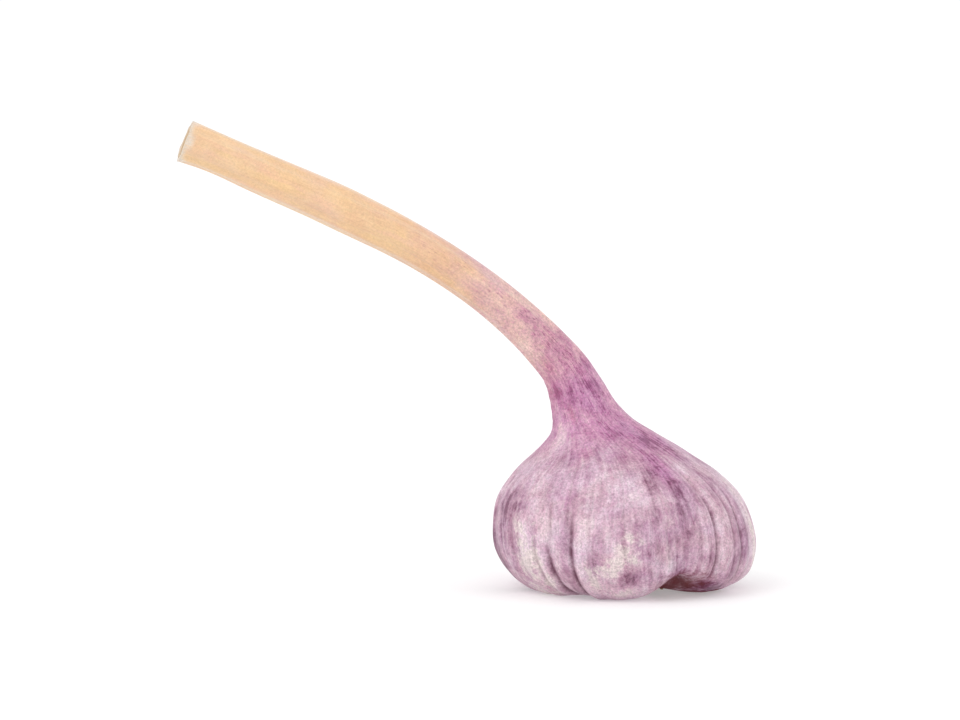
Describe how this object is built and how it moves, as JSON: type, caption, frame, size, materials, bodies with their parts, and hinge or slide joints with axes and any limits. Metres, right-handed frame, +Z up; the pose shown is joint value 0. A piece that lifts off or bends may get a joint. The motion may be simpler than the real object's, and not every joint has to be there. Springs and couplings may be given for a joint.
{
  "type": "garlic bulb",
  "caption": "Whole head of garlic with bulging cloves under a wrapped skin, a bent neck and a long dried stalk cut square.",
  "frame": {"origin": "middle of the footprint's bounding box, on the surface that the head rests on", "axes": "+Z up; -Y is the front; the stalk leans away towards -X and the head stands at +X"},
  "size_m": [0.1238, 0.057, 0.1006],
  "materials": {
    "garlic_skin": "dry papery skin, satin, lilac and cream streaks, straw-coloured stalk"
  },
  "bodies": {
    "root": {"garlic_bulb": "garlic_skin"}
  },
  "joints": []
}
